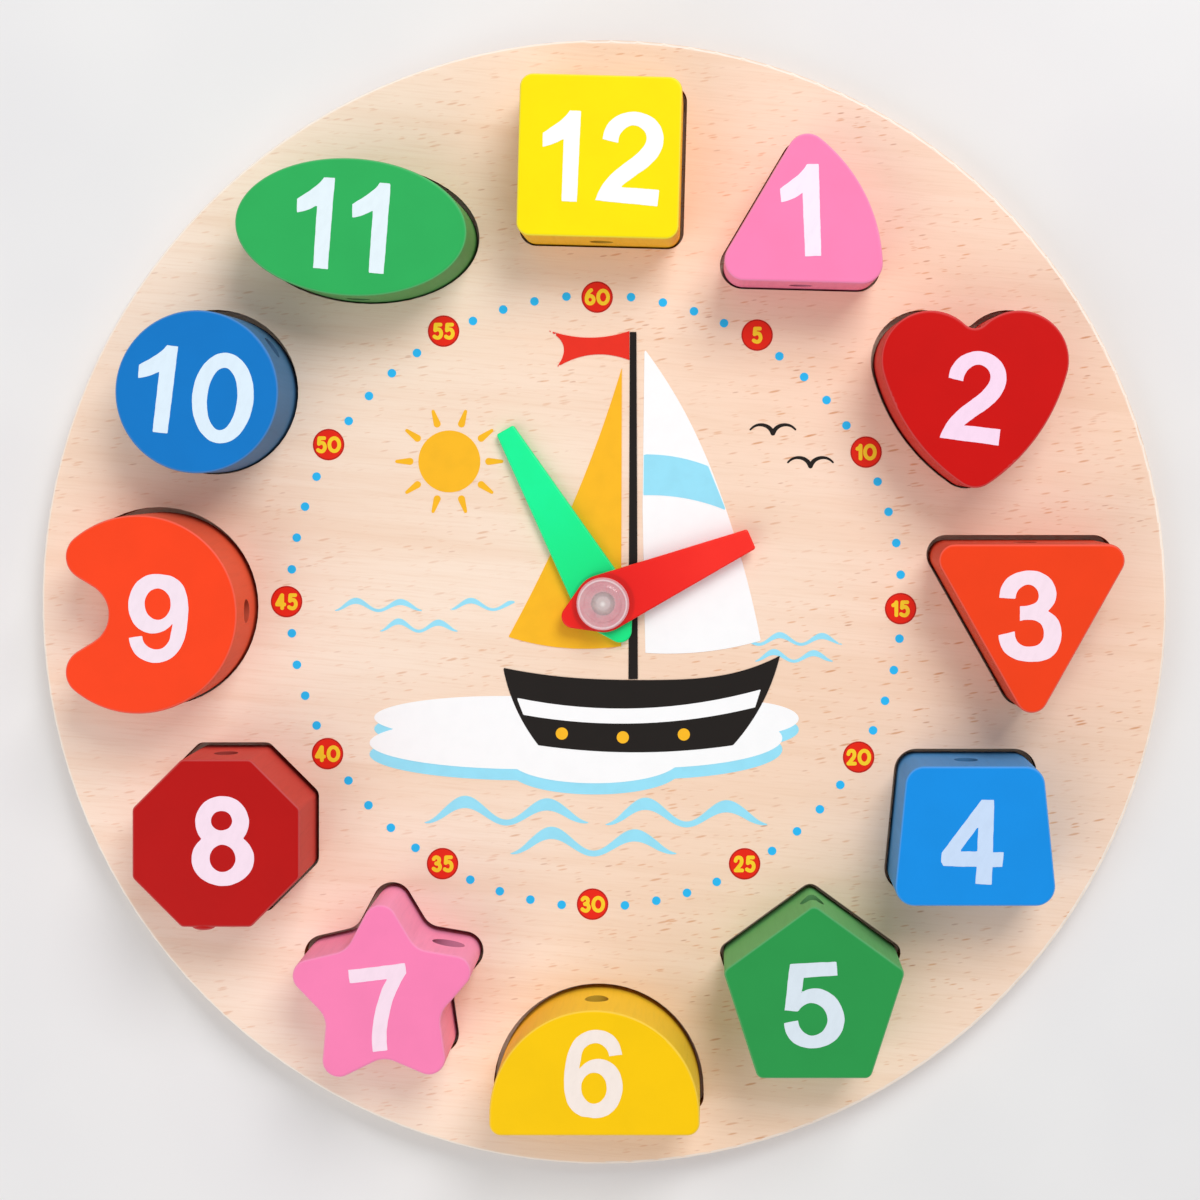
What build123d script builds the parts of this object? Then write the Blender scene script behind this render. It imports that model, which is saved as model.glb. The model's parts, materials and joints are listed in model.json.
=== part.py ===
from build123d import *
import math
import os

# A shape-sorting teaching clock. Twelve numbered blocks stand loose in twelve pockets of a round
# wooden board, and two moulded hands turn on a clear snap rivet in its middle.
# The clock lies on its back: +Z is the way its dial faces, +Y is towards twelve o'clock, and the
# origin is the middle of the back of the board. Millimetres throughout.

# ---------------------------------------------------------------- driving dimensions
# Board: a solid backing glued behind a face board that is cut right through.
board_diameter = 240.0
backing_thickness = 3.5
face_thickness = 4.5
board_edge_round = 0.8

# Blocks and the pockets that they stand in.
block_thickness = 21.0
block_edge_round = 0.6      # round the numbered side
block_foot_chamfer = 0.4    # round the side that goes into the pocket
pocket_clearance = 0.8      # all round a block that stands in the middle of its pocket
block_settle = 0.4          # how far a block has slid towards six o'clock in its pocket
thread_bore_diameter = 4.9
thread_bore_height = 12.0   # above the foot of the block

# Snap rivet: a head and hollow shaft from the front, a cap and pin from the back.
rivet_head_diameter = 10.6
rivet_head_thickness = 1.1
rivet_rim_width = 0.5
rivet_rim_height = 0.25
rivet_flange_diameter = 11.1
rivet_flange_thickness = 0.6
rivet_shaft_diameter = 5.0
rivet_bore_diameter = 3.0
rivet_bore_blind = 0.9      # solid plastic left between the hollow and the flange's underside
cap_diameter = 10.0
cap_thickness = 1.3
cap_edge_round = 0.5
cap_recess_clearance = 0.6
cap_recess_depth = 1.8
cap_pin_length = 7.5
pin_lead_in = 0.4           # chamfer that guides the pin into the hollow shaft

# Hands: flat moulded blades with a round raised boss.
hub_radius = 6.1
blade_thickness = 1.6
boss_step = 0.3
blade_edge_round = 0.4
hand_bore_clearance = 0.05  # running fit on the rivet's shaft
board_bore_clearance = 0.10
hand_gap = 0.3              # between the board, the two hands and the rivet's flange
hour_reach = 34.2
hour_tip_width = 4.6
hour_angle = 66.5           # clockwise from twelve o'clock
minute_reach = 42.3
minute_tip_width = 4.2
minute_angle = 330.2
tail_reach = 9.4
tail_width = 5.0

# Outlines of the blocks, each about its own middle, and how far in from the rim that middle stands.
square_side = 33.4
square_round = 2.8
square_from_rim = 27.3
bowed_apex = (-0.6, 17.6)
bowed_left = (-18.9, -14.6)
bowed_right = (16.6, -14.9)
bowed_rise = 5.3
bowed_round = 4.2
bowed_from_rim = 28.4
heart_lobe_radius = 10.2
heart_lobe_spacing = 18.2
heart_lobe_height = 8.2
heart_lobe_end = -15.0      # degrees round the lobe where its side starts
heart_tip_drop = 18.9
heart_notch_round = 3.0
heart_tip_round = 5.0
heart_from_rim = 32.0
triangle_width = 43.0
triangle_height = 38.2
triangle_round = 3.4
triangle_lift = 1.8
triangle_from_rim = 31.3
trapezoid_top = 28.0
trapezoid_base = 33.7
trapezoid_height = 28.7
trapezoid_round = 4.0
trapezoid_from_rim = 29.9
trapezoid_bore_off = -0.8    # its bore is drilled to the left of its middle
pentagon_radius = 19.7
pentagon_round = 1.6
pentagon_from_rim = 28.2
arch_radius = 21.6
arch_foot = 4.2
arch_round = 2.5
arch_from_rim = 24.6
star_radius = 22.6
star_waist = 12.2
star_tip_round = 3.4
star_waist_round = 5.0
star_from_rim = 28.4
octagon_width = 34.4
octagon_round = 1.5
octagon_from_rim = 27.6
bitten_diameter = 40.8
bite_half_angle = 31.5
bite_round = 6.6
horn_round = 5.0
bitten_from_rim = 25.1
disc_diameter = 33.5
disc_from_rim = 26.1
oval_length = 47.6
oval_width = 28.3
oval_from_rim = 26.6

# ---------------------------------------------------------------- sizes that follow
board_radius = board_diameter / 2
board_thickness = backing_thickness + face_thickness
shaft_radius = rivet_shaft_diameter / 2
bore_z = backing_thickness + thread_bore_height
minute_bottom = board_thickness + hand_gap
minute_top = minute_bottom + blade_thickness + boss_step
hour_bottom = minute_top + hand_gap
hour_top = hour_bottom + blade_thickness + boss_step
flange_bottom = hour_top + hand_gap
cap_recess_radius = cap_diameter / 2 + cap_recess_clearance


def mirrored(point):
    """The point as far to the left of the y axis as it is to the right."""
    return Vector(-point.X, point.Y)


# ---------------------------------------------------------------- outlines of the blocks
with BuildSketch() as square_outline:
    RectangleRounded(square_side, square_side, square_round)

with BuildSketch() as bowed_triangle_outline:
    with BuildLine():
        Line(bowed_apex, bowed_left)
        Line(bowed_left, bowed_right)
        SagittaArc(bowed_right, bowed_apex, -bowed_rise)
    make_face()
    fillet(bowed_triangle_outline.vertices(), bowed_round)

with BuildSketch() as heart_outline:
    lobe_x = heart_lobe_spacing / 2
    notch_angle = math.degrees(math.acos(-lobe_x / heart_lobe_radius))
    lobe_turn = notch_angle - heart_lobe_end
    with BuildLine():
        lobe = CenterArc((lobe_x, heart_lobe_height), heart_lobe_radius, notch_angle, -lobe_turn)
        side = TangentArc(lobe @ 1, (0, -heart_tip_drop), tangent=lobe % 1)
        ThreePointArc(side @ 1, mirrored(side @ 0.5), mirrored(side @ 0))
        ThreePointArc(mirrored(lobe @ 1), mirrored(lobe @ 0.5), lobe @ 0)
    make_face()
    on_middle = heart_outline.vertices().filter_by_position(Axis.X, -0.01, 0.01)
    fillet(on_middle.sort_by(Axis.Y)[-1], heart_notch_round)
    on_middle = heart_outline.vertices().filter_by_position(Axis.X, -0.01, 0.01)
    fillet(on_middle.sort_by(Axis.Y)[0], heart_tip_round)

with BuildSketch() as triangle_outline:
    with Locations((0, -triangle_lift)):
        Polygon(
            (-triangle_width / 2, triangle_height / 2),
            (0, -triangle_height / 2),
            (triangle_width / 2, triangle_height / 2),
            align=None,
        )
    fillet(triangle_outline.vertices(), triangle_round)

with BuildSketch() as trapezoid_outline:
    Polygon(
        (-trapezoid_base / 2, -trapezoid_height / 2),
        (trapezoid_base / 2, -trapezoid_height / 2),
        (trapezoid_top / 2, trapezoid_height / 2),
        (-trapezoid_top / 2, trapezoid_height / 2),
        align=None,
    )
    fillet(trapezoid_outline.vertices(), trapezoid_round)

with BuildSketch() as pentagon_outline:
    RegularPolygon(pentagon_radius, 5, rotation=90)
    fillet(pentagon_outline.vertices(), pentagon_round)

with BuildSketch() as arch_outline:
    arch_height = arch_radius + arch_foot
    with BuildLine():
        foot = Polyline(
            (-arch_radius, arch_foot - arch_height / 2),
            (-arch_radius, -arch_height / 2),
            (arch_radius, -arch_height / 2),
            (arch_radius, arch_foot - arch_height / 2),
        )
        ThreePointArc(foot @ 1, (0, arch_height / 2), foot @ 0)
    make_face()
    fillet(arch_outline.vertices().group_by(Axis.Y)[0], arch_round)

with BuildSketch() as star_outline:
    with BuildLine():
        corners = []
        for point in range(5):
            tip_angle = math.radians(90 + 72 * point)
            waist_angle = tip_angle + math.radians(36)
            corners.append((star_radius * math.cos(tip_angle), star_radius * math.sin(tip_angle)))
            corners.append((star_waist * math.cos(waist_angle), star_waist * math.sin(waist_angle)))
        Polyline(*corners, close=True)
    make_face()
    tips = star_outline.vertices().sort_by_distance((0, 0))[5:]
    fillet(tips, star_tip_round)
    waists = star_outline.vertices().sort_by_distance((0, 0))[:5]
    fillet(waists, star_waist_round)

with BuildSketch() as octagon_outline:
    RegularPolygon(octagon_width / 2, 8, major_radius=False, rotation=22.5)
    fillet(octagon_outline.vertices(), octagon_round)

with BuildSketch() as bitten_disc_outline:
    Circle(bitten_diameter / 2)
    bite_reach = bitten_diameter
    bite_spread = bite_reach * math.tan(math.radians(bite_half_angle))
    Polygon((0, 0), (-bite_reach, bite_spread), (-bite_reach, -bite_spread), align=None, mode=Mode.SUBTRACT)
    fillet(bitten_disc_outline.vertices().sort_by_distance((0, 0))[0], bite_round)
    fillet(bitten_disc_outline.vertices().sort_by_distance((-bitten_diameter / 2, 0))[:2], horn_round)

with BuildSketch() as disc_outline:
    Circle(disc_diameter / 2)

with BuildSketch() as oval_outline:
    Ellipse(oval_length / 2, oval_width / 2)


def place_on_board(clock_angle, from_rim):
    """The point at a number of degrees clockwise from twelve, and so far in from the board's rim."""
    out = board_radius - from_rim
    return (out * math.sin(math.radians(clock_angle)), out * math.cos(math.radians(clock_angle)))


# Each block: its outline, where its middle stands on the board, how far it is turned
# anticlockwise, and the direction of its threading bore, both in degrees.
blocks = {
    "bowed_triangle_block_1": (bowed_triangle_outline, place_on_board(27.0, bowed_from_rim), -1.0, 90),
    "heart_block_2": (heart_outline, place_on_board(61.0, heart_from_rim), 0.0, 90),
    "triangle_block_3": (triangle_outline, place_on_board(92.7, triangle_from_rim), 0.0, 90),
    "trapezoid_block_4": (trapezoid_outline, place_on_board(121.3, trapezoid_from_rim), 0.0, 90),
    "pentagon_block_5": (pentagon_outline, place_on_board(151.4, pentagon_from_rim), 0.0, 90),
    "arch_block_6": (arch_outline, place_on_board(180.7, arch_from_rim), 0.0, 90),
    "star_block_7": (star_outline, place_on_board(209.2, star_from_rim), 1.5, 36),
    "octagon_block_8": (octagon_outline, place_on_board(238.5, octagon_from_rim), 0.0, 90),
    "bitten_disc_block_9": (bitten_disc_outline, place_on_board(269.2, bitten_from_rim), 0.0, 0),
    "disc_block_10": (disc_outline, place_on_board(298.2, disc_from_rim), 0.0, 35),
    "oval_block_11": (oval_outline, place_on_board(326.8, oval_from_rim), -3.6, 90),
    "square_block_12": (square_outline, place_on_board(359.9, square_from_rim), -1.5, 90),
}
# How far a bore's axis passes to the right of its block's middle, seen along the bore. Where no
# value is given, it passes through the middle.
bores_off_middle = {"trapezoid_block_4": trapezoid_bore_off}


def turned_plane(place, turn, height):
    """A plane parallel to the board at a height, its x axis turned anticlockwise by turn degrees."""
    x_dir = (math.cos(math.radians(turn)), math.sin(math.radians(turn)), 0)
    return Plane(origin=(place[0], place[1], height), x_dir=x_dir, z_dir=(0, 0, 1))


def make_block(outline, place, turn, bore_angle, bore_off):
    """A block stands on the backing board, with eased edges and a bore right through its sides."""
    bore_dir = (math.cos(math.radians(bore_angle)), math.sin(math.radians(bore_angle)), 0)
    bore_place = (place[0] + bore_off * bore_dir[1], place[1] - bore_off * bore_dir[0])
    bore_plane = Plane(origin=(bore_place[0], bore_place[1], bore_z), z_dir=bore_dir)
    with BuildPart() as block:
        with BuildSketch(turned_plane(place, turn, backing_thickness)):
            add(outline.sketch)
        extrude(amount=block_thickness)
        chamfer(block.edges().group_by(Axis.Z)[0], block_foot_chamfer)
        fillet(block.edges().group_by(Axis.Z)[-1], block_edge_round)
        with BuildSketch(bore_plane):
            Circle(thread_bore_diameter / 2)
        extrude(amount=board_radius, both=True, mode=Mode.SUBTRACT)
    return block


def make_hand(reach, tip_width, angle, bottom):
    """A hand: a blade hulled round its hub, tip and tail, a raised boss, and a bore for the shaft."""
    clockwise = turned_plane((0, 0), 90 - angle, bottom)
    with BuildPart() as hand:
        with BuildSketch(clockwise):
            Circle(hub_radius)
            with Locations((reach - tip_width / 4, 0)):
                RectangleRounded(tip_width / 2, tip_width, tip_width / 8)
            with Locations((-tail_reach + tail_width / 2, 0)):
                Circle(tail_width / 2)
            make_hull()
        extrude(amount=blade_thickness)
        fillet(hand.edges().group_by(Axis.Z)[-1], blade_edge_round)
        with BuildSketch(clockwise.offset(blade_thickness)):
            Circle(hub_radius - blade_edge_round)
        extrude(amount=boss_step, taper=45)
        with BuildSketch(clockwise):
            Circle(shaft_radius + hand_bore_clearance)
        extrude(amount=blade_thickness + boss_step, mode=Mode.SUBTRACT)
    return hand


# ---------------------------------------------------------------- the board
with BuildPart() as backing_board:
    with BuildSketch():
        Circle(board_radius)
    extrude(amount=backing_thickness)
    fillet(backing_board.edges().group_by(Axis.Z)[0], board_edge_round)
    with BuildSketch():
        Circle(cap_recess_radius)
    extrude(amount=cap_recess_depth, mode=Mode.SUBTRACT)
    with BuildSketch():
        Circle(shaft_radius + board_bore_clearance)
    extrude(amount=backing_thickness, mode=Mode.SUBTRACT)

with BuildPart() as face_board:
    with BuildSketch(Plane.XY.offset(backing_thickness)):
        Circle(board_radius)
    extrude(amount=face_thickness)
    fillet(face_board.edges().group_by(Axis.Z)[-1], board_edge_round)
    with BuildSketch(Plane.XY.offset(backing_thickness)):
        Circle(shaft_radius + board_bore_clearance)
    extrude(amount=face_thickness, mode=Mode.SUBTRACT)
    for outline, place, turn, bore_angle in blocks.values():
        pocket_place = (place[0], place[1] + block_settle)
        with BuildSketch(turned_plane(pocket_place, turn, backing_thickness)):
            if outline is oval_outline:
                Ellipse(oval_length / 2 + pocket_clearance, oval_width / 2 + pocket_clearance)
            else:
                add(outline.sketch)
                offset(amount=pocket_clearance)
        extrude(amount=face_thickness, mode=Mode.SUBTRACT)

# ---------------------------------------------------------------- hands
minute_hand = make_hand(minute_reach, minute_tip_width, minute_angle, minute_bottom)
hour_hand = make_hand(hour_reach, hour_tip_width, hour_angle, hour_bottom)

# ---------------------------------------------------------------- snap rivet
shaft_bottom = cap_recess_depth
flange_top = flange_bottom + rivet_flange_thickness
head_top = flange_top + rivet_head_thickness

with BuildPart() as hub_rivet:
    with BuildSketch(Plane.XY.offset(shaft_bottom)):
        Circle(shaft_radius)
    extrude(amount=flange_bottom - shaft_bottom)
    with BuildSketch(Plane.XY.offset(flange_bottom)):
        Circle(rivet_flange_diameter / 2)
    extrude(amount=rivet_flange_thickness)
    with BuildSketch(Plane.XY.offset(flange_top)):
        Circle(rivet_head_diameter / 2)
    extrude(amount=rivet_head_thickness)
    with BuildSketch(Plane.XY.offset(head_top)):
        Circle(rivet_head_diameter / 2 - rivet_rim_width)
    extrude(amount=-rivet_rim_height, mode=Mode.SUBTRACT)
    with BuildSketch(Plane.XY.offset(shaft_bottom)):
        Circle(rivet_bore_diameter / 2)
    extrude(amount=flange_bottom - rivet_bore_blind - shaft_bottom, mode=Mode.SUBTRACT)

with BuildPart() as rivet_cap:
    cap_bottom = cap_recess_depth - cap_thickness
    with BuildSketch(Plane.XY.offset(cap_bottom)):
        Circle(cap_diameter / 2)
    extrude(amount=cap_thickness)
    fillet(rivet_cap.edges().group_by(Axis.Z)[0], cap_edge_round)
    with BuildSketch(Plane.XY.offset(cap_recess_depth)):
        Circle(rivet_bore_diameter / 2)
    extrude(amount=cap_pin_length)
    chamfer(rivet_cap.edges().group_by(Axis.Z)[-1], pin_lead_in)

# ---------------------------------------------------------------- labels and files
os.makedirs("parts", exist_ok=True)
pieces = {
    "backing_board": backing_board,
    "face_board": face_board,
    "minute_hand": minute_hand,
    "hour_hand": hour_hand,
    "hub_rivet": hub_rivet,
    "rivet_cap": rivet_cap,
}
for name, (outline, place, turn, bore_angle) in blocks.items():
    pieces[name] = make_block(outline, place, turn, bore_angle, bores_off_middle.get(name, 0.0))
for name, piece in pieces.items():
    piece.part.label = name
    export_step(piece.part, f"parts/{name}.step")
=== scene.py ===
import json
import math
from functools import partial

import bpy
import numpy as np
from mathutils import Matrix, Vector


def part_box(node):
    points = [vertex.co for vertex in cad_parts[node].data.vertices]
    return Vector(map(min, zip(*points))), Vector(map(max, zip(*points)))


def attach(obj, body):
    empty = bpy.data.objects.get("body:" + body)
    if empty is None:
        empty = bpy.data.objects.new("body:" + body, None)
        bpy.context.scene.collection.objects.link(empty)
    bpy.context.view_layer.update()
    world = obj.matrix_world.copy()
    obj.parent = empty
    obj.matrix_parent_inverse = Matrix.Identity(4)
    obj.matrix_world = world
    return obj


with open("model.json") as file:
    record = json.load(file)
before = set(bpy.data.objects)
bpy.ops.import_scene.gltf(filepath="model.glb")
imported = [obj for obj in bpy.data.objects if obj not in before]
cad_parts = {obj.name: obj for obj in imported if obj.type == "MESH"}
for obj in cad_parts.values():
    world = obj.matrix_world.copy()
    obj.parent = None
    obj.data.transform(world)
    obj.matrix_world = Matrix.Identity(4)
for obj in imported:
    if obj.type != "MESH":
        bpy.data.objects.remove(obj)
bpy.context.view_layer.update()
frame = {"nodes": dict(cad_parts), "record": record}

# ------------------------------------------------------------------ the board
# Two round beech boards glued face to face. The front one is sawn right through for the
# twelve pockets. Both are sanded smooth and thinly lacquered, and the saw has scorched the
# walls of the pockets brown; that brown is made darker still as painted shade in the narrow
# gaps. The grain runs from side to side.
MM = 0.001
BOARD_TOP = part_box("face_board")[1].z
BOARD_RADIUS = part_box("face_board")[1].x
# How far up the rim the glue between the two boards shows.
GLUE_LINE = 3.5 * MM
# The tan flecks, in four sizes: the length, width and depth of a cell of the pattern in
# millimetres, its turn in degrees, the share of cells that hold a fleck, how strong the fleck
# is, and its colour.
FLECKS = (
    ((4.4, 0.78, 0.78), -9.0, 0.40, 0.72, (224, 158, 106)),
    ((3.0, 0.52, 0.52), -7.0, 0.36, 0.62, (226, 164, 116)),
    ((5.6, 0.95, 0.95), -11.0, 0.18, 0.74, (212, 140, 84)),
    ((3.4, 0.66, 0.66), -8.0, 0.06, 0.65, (186, 112, 62)),
)


def rgb(red, green, blue):
    """
    A colour written as it shows on a screen, 0 to 255, turned into the linear light that a
    shader mixes.
    """
    screen = np.array([red, green, blue]) / 255.0
    linear = np.where(screen <= 0.04045, screen / 12.92, ((screen + 0.055) / 1.055) ** 2.4)
    return (*linear.tolist(), 1.0)


def put(tree, kind, sockets=None, **settings):
    """
    One node: its settings, then its sockets by name or number, each a number, a colour or
    another node's output.
    """
    node = tree.nodes.new(kind)
    for name, value in settings.items():
        setattr(node, name, value)
    for key, value in (sockets or {}).items():
        if isinstance(value, bpy.types.NodeSocket):
            tree.links.new(value, node.inputs[key])
        else:
            node.inputs[key].default_value = value
    return node


def finish_of(name, **sockets):
    """
    A new material, its node tree and its shader, with the shader's plain numbers set on its
    own sockets.
    """
    material = bpy.data.materials.new(name)
    material.use_nodes = True
    shader = material.node_tree.nodes["Principled BSDF"]
    for key, value in sockets.items():
        shader.inputs[key.replace("_", " ")].default_value = value
    return material, material.node_tree, shader


def lead(tree, shader, **outputs):
    """Leads the outputs of nodes into the shader's sockets of those names."""
    for key, output in outputs.items():
        tree.links.new(output, shader.inputs[key.replace("_", " ")])


def place_on(tree):
    """Where a point is on the piece, in metres."""
    return put(tree, "ShaderNodeTexCoord").outputs["Object"]


def along(tree, size, turn=0.0):
    """
    Where a point is on the piece, turned about z and counted in steps: one size in millimetres
    for all ways, or one each along x, y and z.
    """
    turned = put(
        tree,
        "ShaderNodeMapping",
        {"Vector": place_on(tree), "Rotation": (0.0, 0.0, math.radians(turn))},
    )
    scale = [1.0 / (step * MM) for step in np.broadcast_to(size, 3).tolist()]
    return put(tree, "ShaderNodeMapping", {"Vector": turned.outputs[0], "Scale": scale}).outputs[0]


def noise(tree, size, turn=0.0, detail=2.0, rough=0.5, warp=0.0):
    """Soft noise from 0 to 1, in steps of that size in millimetres."""
    sockets = {
        "Vector": along(tree, size, turn),
        "Scale": 1.0,
        "Detail": detail,
        "Roughness": rough,
        "Distortion": warp,
    }
    return put(tree, "ShaderNodeTexNoise", sockets).outputs[0]


def blend(tree, amount, first, second):
    """The first colour going over to the second by an amount from 0 to 1."""
    sockets = {0: amount, 6: first, 7: second}
    return put(tree, "ShaderNodeMix", sockets, data_type="RGBA", clamp_factor=True).outputs[2]


def sums(tree, operation, first, second=0.0, third=0.0):
    """One sum on numbers."""
    node = put(tree, "ShaderNodeMath", {0: first, 1: second, 2: third}, operation=operation)
    return node.outputs[0]


def times(tree, first, second):
    """The product of two numbers."""
    return sums(tree, "MULTIPLY", first, second)


def fade(tree, value, low, high, start=0.0, end=1.0, kind="SMOOTHSTEP"):
    """
    A number that goes from start to end as the value goes from low to high, in a smooth step,
    or evenly where the kind is LINEAR. Where low is the larger one, the value falls on its way.
    """
    sockets = {"Value": value, "From Min": low, "From Max": high, "To Min": start, "To Max": end}
    return put(tree, "ShaderNodeMapRange", sockets, interpolation_type=kind).outputs["Result"]


def hills(tree, shader, height, strength, depth):
    """
    Gives the surface small hills: a height from 0 to 1, times a depth in metres, mixed in at a
    strength from 0 to 1.
    """
    bump = put(tree, "ShaderNodeBump", {"Strength": strength, "Distance": depth, "Height": height})
    lead(tree, shader, Normal=bump.outputs[0])


def upward(tree):
    """How far the surface faces up: the z of its normal."""
    normal = put(tree, "ShaderNodeNewGeometry").outputs["Normal"]
    return put(tree, "ShaderNodeSeparateXYZ", {0: normal}).outputs[2]


def standing(tree):
    """Where a point stands: its x, its height and its distance from the middle of the dial."""
    axes = put(tree, "ShaderNodeSeparateXYZ", {0: place_on(tree)}).outputs
    flat = put(tree, "ShaderNodeCombineXYZ", {0: axes[0], 1: axes[1]}).outputs[0]
    out = put(tree, "ShaderNodeVectorMath", {0: flat}, operation="LENGTH").outputs["Value"]
    return axes[0], axes[2], out


def flecks(tree, size, turn, coverage):
    """
    Short dashes of the wood's rays: in a stretched Voronoi pattern, the chosen share of the
    cells is dark in its middle.
    """
    width = 0.30
    cells = put(
        tree,
        "ShaderNodeTexVoronoi",
        {"Vector": along(tree, size, turn), "Scale": 1.0, "Randomness": 1.0},
        feature="F1",
    )
    pick = put(tree, "ShaderNodeSeparateColor", {0: cells.outputs["Color"]}).outputs[0]
    chosen = fade(tree, pick, 1.0 - coverage, 1.0 - coverage * 0.6)
    core = fade(tree, cells.outputs["Distance"], width, width * 0.45)
    return times(tree, chosen, core)


def beech(name):
    """
    Pale beech: a slow drift of tone, warmer towards +x, faint bands and fibres along x, and
    short tan flecks. Rounded edges carry a pale painted highlight, the walls of the pockets are
    burnt and darkened further with painted shade, and the glue shows as a thin line round the rim.
    """
    material, tree, shader = finish_of(name, Specular_IOR_Level=0.30)
    across, height, out = standing(tree)
    up = upward(tree)
    drift = fade(tree, noise(tree, (110.0, 60.0, 60.0)), 0.32, 0.70)
    colour = blend(tree, drift, rgb(255, 235, 216), rgb(251, 223, 199))
    east = fade(tree, across, -80.0 * MM, 80.0 * MM)
    colour = blend(tree, times(tree, east, 0.30), colour, rgb(250, 203, 172))
    streaks = noise(tree, (150.0, 6.0, 6.0), turn=5.0, detail=3.0, rough=0.55, warp=0.3)
    bands = fade(tree, streaks, 0.38, 0.75)
    colour = blend(tree, times(tree, bands, 0.40), colour, rgb(241, 203, 172))
    threads = noise(tree, (11.0, 0.45, 0.45), turn=5.0, detail=4.0, rough=0.62)
    fibre = fade(tree, threads, 0.42, 0.80)
    colour = blend(tree, times(tree, fibre, 0.26), colour, rgb(230, 188, 152))
    crowd = fade(tree, noise(tree, (26.0, 12.0, 12.0), turn=5.0), 0.30, 0.60)
    crowd = times(tree, crowd, sums(tree, "MULTIPLY_ADD", east, 0.5, 0.5))
    for size, turn, share, strength, tone in FLECKS:
        rays = times(tree, flecks(tree, size, turn, share), crowd)
        colour = blend(tree, times(tree, rays, strength), colour, rgb(*tone))
    # Painted highlight: the rounded edges are made paler, as where light glints along them.
    edge_highlight = times(tree, fade(tree, up, 0.30, 0.60), fade(tree, up, 0.99, 0.90))
    colour = blend(tree, times(tree, edge_highlight, 0.60), colour, rgb(255, 250, 241))
    side = fade(tree, sums(tree, "ABSOLUTE", up), 0.80, 0.40)
    inner = fade(tree, out, BOARD_RADIUS - 1.0 * MM, BOARD_RADIUS - 1.5 * MM)
    # The pocket walls: real scorch, painted darker than scorch alone to stand for the shade deep in the
    # gaps.
    scorch_and_shade = times(tree, side, inner)
    burn = fade(tree, noise(tree, (2.5, 2.5, 9.0), detail=3.0), 0.3, 0.7)
    burnt_and_shaded = blend(tree, burn, rgb(138, 70, 28), rgb(182, 112, 58))
    colour = blend(tree, scorch_and_shade, colour, burnt_and_shaded)
    off_line = sums(tree, "ABSOLUTE", sums(tree, "SUBTRACT", height, GLUE_LINE))
    glue = fade(tree, off_line, 0.16 * MM, 0.06 * MM)
    outer = times(tree, side, sums(tree, "SUBTRACT", 1.0, inner))
    seam = times(tree, glue, outer)
    colour = blend(tree, times(tree, seam, 0.8), colour, rgb(150, 104, 66))
    lacquer = noise(tree, (7.0, 1.2, 1.2), turn=3.0, detail=3.0)
    sheen = fade(tree, lacquer, 0.0, 1.0, 0.40, 0.54, "LINEAR")
    rough = sums(tree, "MULTIPLY_ADD", scorch_and_shade, 0.40, sheen)
    lead(tree, shader, Base_Color=colour, Roughness=rough)
    hills(tree, shader, fibre, 0.22, 0.04 * MM)
    return material


def dress(node, finish):
    """Gives a piece that the frame carries its finish."""
    mesh = frame["nodes"][node].data
    if not mesh.materials:
        mesh.materials.append(finish)
    for slot in range(len(mesh.materials)):
        mesh.materials[slot] = finish


beech_wood = beech("beech_wood")
dress("backing_board", beech_wood)
dress("face_board", beech_wood)

# ------------------------------------------------------------------ the minute ring
# Screen print on the lacquered face: a ring of twelve red spots with the minutes in yellow,
# and four small blue dots between each pair. Each coat of ink is 0.05 mm thick.
INK = 0.05 * MM
SPOT_RADIUS = 3.36 * MM
SPOT_RIM = 0.30 * MM
DOT_RADIUS = 0.92 * MM
# The inks were printed one after the other and don't quite register. Each ring has its own
# middle (x, y) and radius in millimetres, its own turn clockwise in degrees, and a swing in
# millimetres, by which its marks stand further out at the top, further in at the bottom and
# lower at both sides.
SPOT_RING = (-1.95, 0.20, 65.4, 0.55, 0.0)
DOT_RING = (-1.73, -0.07, 65.2, 0.51, 0.33)
# How far each red spot sits off its ring to the right and upwards, in millimetres, by its minute.
SPOT_SLIPS = {
    5: (1.33, 0.41),
    10: (0.86, -0.37),
    15: (-0.23, -0.96),
    20: (-0.11, 0.0),
    25: (-0.25, 0.95),
    30: (0.12, 0.80),
    35: (0.75, 0.36),
    40: (-0.06, -0.35),
    45: (-0.35, -0.72),
    50: (-0.47, 0.14),
    55: (-0.12, 0.63),
    60: (-0.17, -0.57),
}


def shade(colour, share, lift=0.0):
    """A colour with each channel times a share, plus a lift, and no more than full light."""
    return tuple(min(1.0, lift + share * channel) for channel in colour[:3]) + (1.0,)


def ink(name, colour, rough=0.38, unevenness=0.044):
    """Printed ink: one colour with a faint change of tone, and a fine grain in its surface."""
    material, tree, shader = finish_of(name, Roughness=rough, Specular_IOR_Level=0.22)
    cloud = fade(tree, noise(tree, 3.5, detail=3.0), 0.35, 0.75)
    tone = blend(tree, cloud, rgb(*colour), shade(rgb(*colour), 1.0 - unevenness))
    lead(tree, shader, Base_Color=tone)
    hills(tree, shader, noise(tree, 0.35), 0.12, 0.03 * MM)
    return material


def coat(name, points, faces, thick, finish, body):
    """A thin coat of paint or ink: its upper face, which Solidify thickens downwards, on its body."""
    mesh = bpy.data.meshes.new(name)
    mesh.from_pydata(points.tolist(), [], faces)
    mesh.materials.append(finish)
    mesh.validate()
    piece = bpy.data.objects.new(name, mesh)
    bpy.context.scene.collection.objects.link(piece)
    solid = piece.modifiers.new("coat", "SOLIDIFY")
    solid.thickness = thick
    solid.offset = -1.0
    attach(piece, body)


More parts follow.
